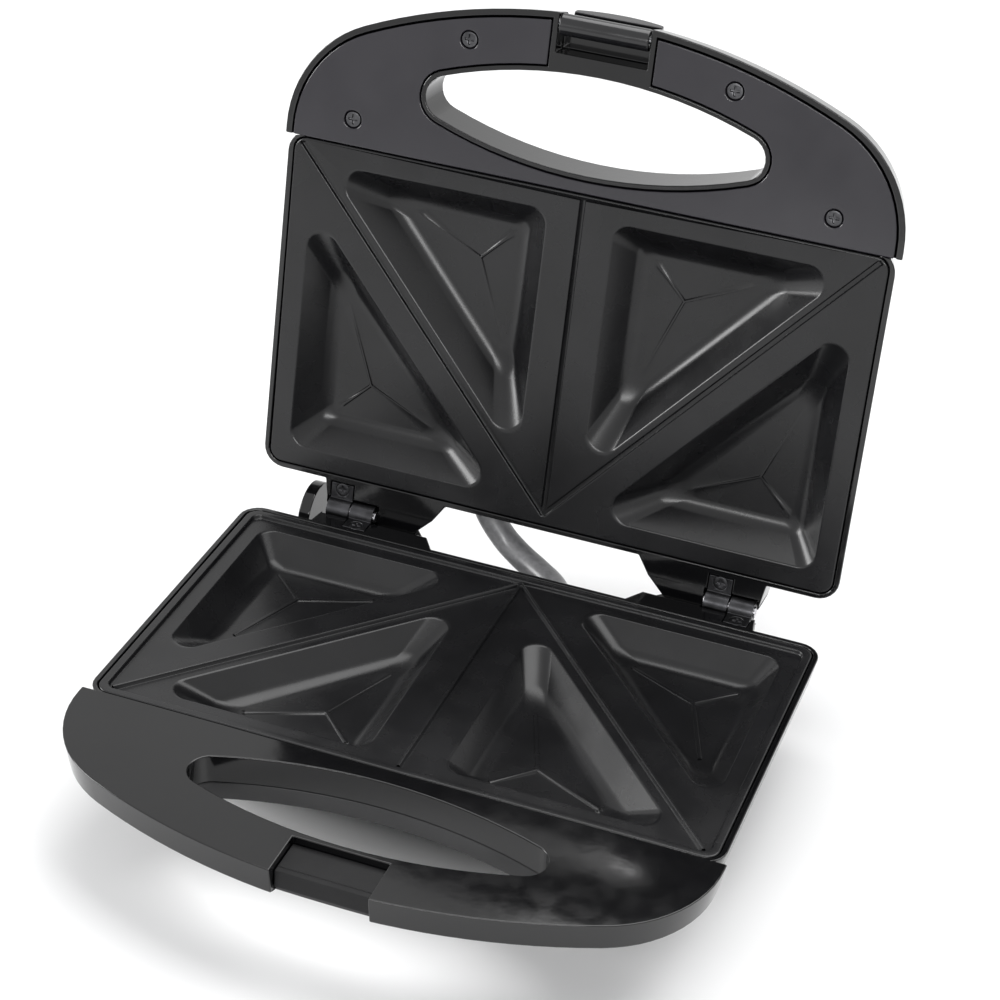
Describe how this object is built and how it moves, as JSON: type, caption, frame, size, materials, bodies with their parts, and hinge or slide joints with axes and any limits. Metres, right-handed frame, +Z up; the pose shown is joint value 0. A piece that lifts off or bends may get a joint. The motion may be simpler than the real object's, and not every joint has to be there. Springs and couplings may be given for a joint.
{
  "type": "sandwich toaster",
  "caption": "Open sandwich toaster with hinged halves, triangular-pocket plates, a looped front grip on each half and a swing-over clip.",
  "frame": {"origin": "on the surface the feet stand on, under the middle of the open toaster's width and depth", "axes": "+X to the right seen from the grip side, +Y towards the hinges, +Z up"},
  "size_m": [0.228, 0.2589, 0.2445],
  "materials": {
    "shell": "glossy black moulding",
    "under_shell": "fine matte black moulding",
    "foot_rubber": "soft matte rubber",
    "keeper_plastic": "matte charcoal moulding",
    "coated_plate": "satin non-stick coating",
    "element_sheath": "heat-dulled metal sheath",
    "bright_steel": "satin steel",
    "shield_metal": "bright sheet",
    "fuse_body": "dull gold-coloured case",
    "pale_plastic": "pale natural moulding",
    "wire_sleeve": "red silicone sleeve",
    "soft_black": "satin black",
    "hinge_steel": "blackened steel",
    "dark_screw": "blackened steel",
    "lead_sleeve": "smooth black sleeve",
    "grip_cover": "glossy charcoal moulding",
    "bright_screw": "bright zinc",
    "red_lens": "clear red",
    "green_lens": "clear green",
    "lamp_glass": "clear glass",
    "clip_plastic": "glossy black moulding"
  },
  "bodies": {
    "base": {"base_housing": "shell", "base_bottom_cover": "under_shell", "base_grip_cover": "under_shell", "base_feet": "foot_rubber", "base_cover_screws": "bright_screw", "base_grip_screws": "bright_screw", "latch_keeper": "keeper_plastic", "lower_plate": "coated_plate", "lower_heating_element": "element_sheath", "lower_element_clamps": "bright_steel", "lower_heat_shield": "shield_metal", "lower_shield_screws": "bright_screw", "lower_plate_screws": "bright_screw", "thermostat": "bright_steel", "thermostat_screws": "bright_screw", "thermal_fuse": "fuse_body", "terminal_block": "pale_plastic", "lower_wires": "wire_sleeve", "cord_gland": "soft_black", "cord_clamp": "pale_plastic", "cord_clamp_screws": "bright_screw", "base_hinge_leaves": "hinge_steel", "base_hinge_screws": "dark_screw", "hinge_pins": "bright_steel", "base_lead_grommet": "soft_black", "link_lead": "lead_sleeve"},
    "lid": {"lid_housing": "shell", "lid_grip_cover": "grip_cover", "lid_grip_screws": "bright_screw", "upper_plate": "coated_plate", "upper_heating_element": "element_sheath", "upper_element_clamps": "bright_steel", "upper_heat_shield": "shield_metal", "upper_shield_screws": "bright_screw", "upper_plate_screws": "bright_screw", "upper_wires": "wire_sleeve", "lid_hinge_leaves": "hinge_steel", "lid_hinge_screws": "dark_screw", "lid_lead_grommet": "soft_black", "power_lens": "red_lens", "ready_lens": "green_lens", "indicator_lamps": "lamp_glass", "clip_pin": "bright_steel"},
    "clip": {"latch_clip": "clip_plastic"}
  },
  "joints": [
    {"name": "lid_hinge", "type": "hinge", "parent": "base", "child": "lid", "pos_m": [0, 0.07369, 0.044], "axis": [1, 0, 0], "range_deg": [0, 98.6], "deforming": ["link_lead"]},
    {"name": "clip_pivot", "type": "hinge", "parent": "lid", "child": "clip", "pos_m": [0, 0.1061, 0.23955], "axis": [1, 0, 0], "range_deg": [0, 175]}
  ]
}
